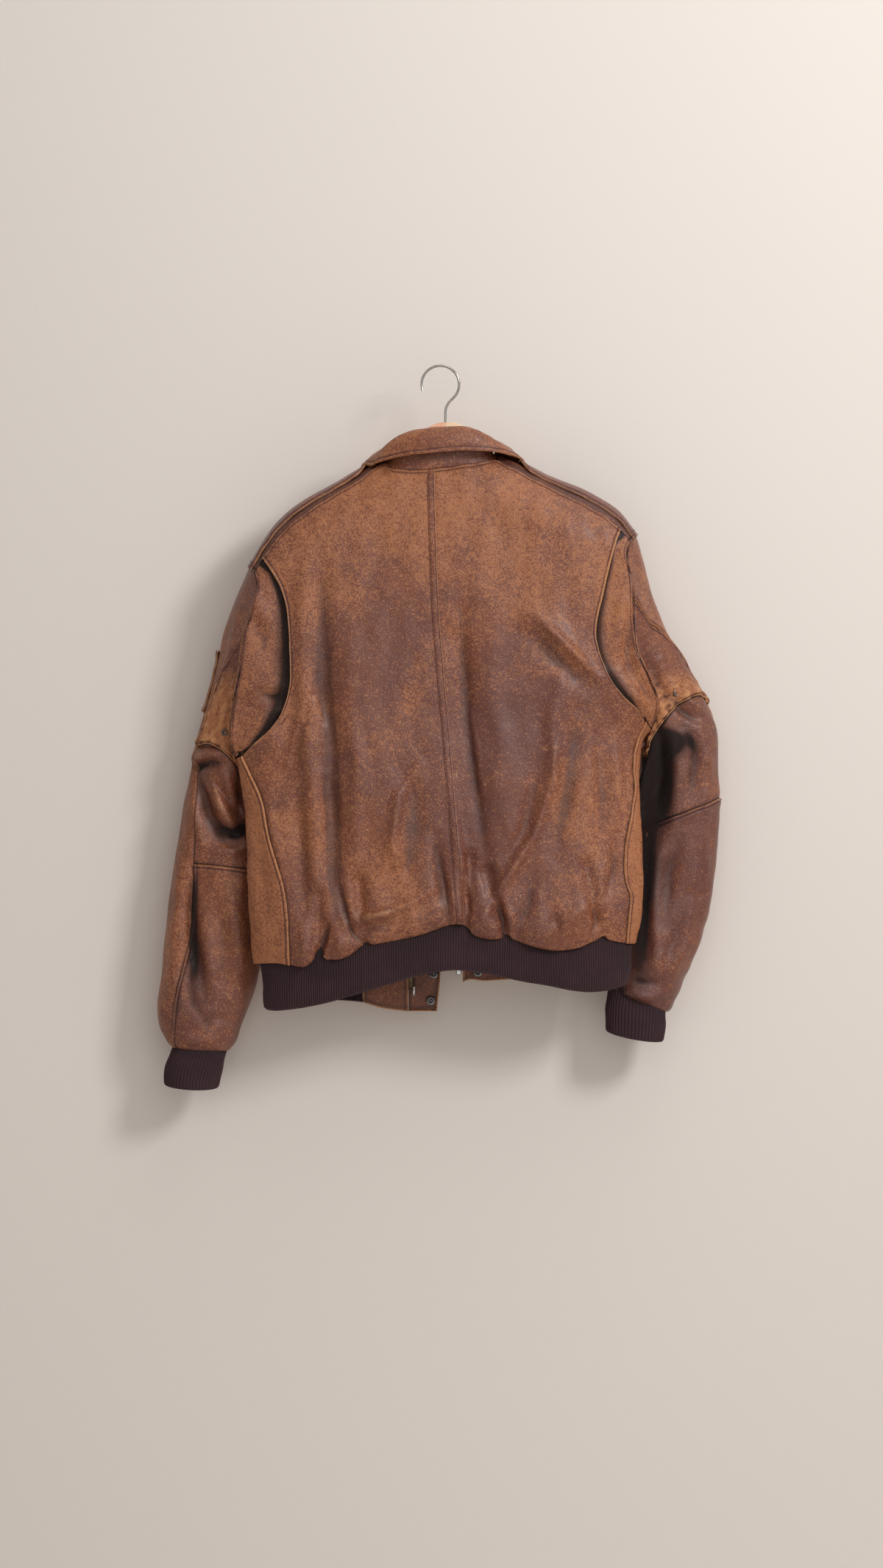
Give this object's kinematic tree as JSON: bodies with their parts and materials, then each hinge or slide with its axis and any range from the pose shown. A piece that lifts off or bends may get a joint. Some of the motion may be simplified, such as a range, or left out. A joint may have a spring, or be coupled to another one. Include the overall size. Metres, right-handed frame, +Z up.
{
  "type": "leather flight jacket on a wooden hanger",
  "caption": "Worn brown leather blouson with rib-knit waistband and cuffs, hanging open on a contoured wooden hanger by its wire hook.",
  "frame": {"origin": "the inside of the top of the hanger's hook, where a peg or rail bears", "axes": "+Z up; the jacket's back faces -Y and its front +Y; +X is the wearer's right"},
  "size_m": [0.7414, 0.1512, 0.9475],
  "materials": {
    "hide": "waxy pebbled hide, rubbed pale at seams and folds",
    "rib_knit": "dark maroon wool rib",
    "zip_chain": "aged chain on a dark tape",
    "dark_metal": "gunmetal snaps and eyelets",
    "bright_metal": "bright plated steel",
    "hanger_wood": "satin lacquered pale wood"
  },
  "bodies": {
    "root": {"action_pleat_left": "hide", "action_pleat_right": "hide", "arm_patch": "hide", "back_centre_strip": "hide", "back_left": "hide", "back_right": "hide", "collar_fall": "hide", "collar_stand": "hide", "cuff_left": "rib_knit", "cuff_right": "rib_knit", "eyelet_left": "dark_metal", "eyelet_right": "dark_metal", "front_left": "hide", "front_right": "hide", "hanger_left": "hanger_wood", "hanger_right": "hanger_wood", "hook": "bright_metal", "shoulder_left": "hide", "shoulder_right": "hide", "shoulder_strap_left": "hide", "shoulder_strap_right": "hide", "side_panel_left": "hide", "side_panel_right": "hide", "sleeve_top_left": "hide", "sleeve_top_right": "hide", "sleeve_under_lower_left": "hide", "sleeve_under_lower_right": "hide", "sleeve_under_upper_left": "hide", "sleeve_under_upper_right": "hide", "snap_left_lower": "dark_metal", "snap_left_upper": "dark_metal", "snap_right": "dark_metal", "storm_flap": "hide", "underarm_gusset_left": "hide", "underarm_gusset_right": "hide", "waist_end_left": "hide", "waist_end_right": "hide", "waistband": "rib_knit", "zip_box": "bright_metal", "zip_left": "zip_chain", "zip_pin": "bright_metal", "zip_right": "zip_chain"}
  },
  "joints": []
}
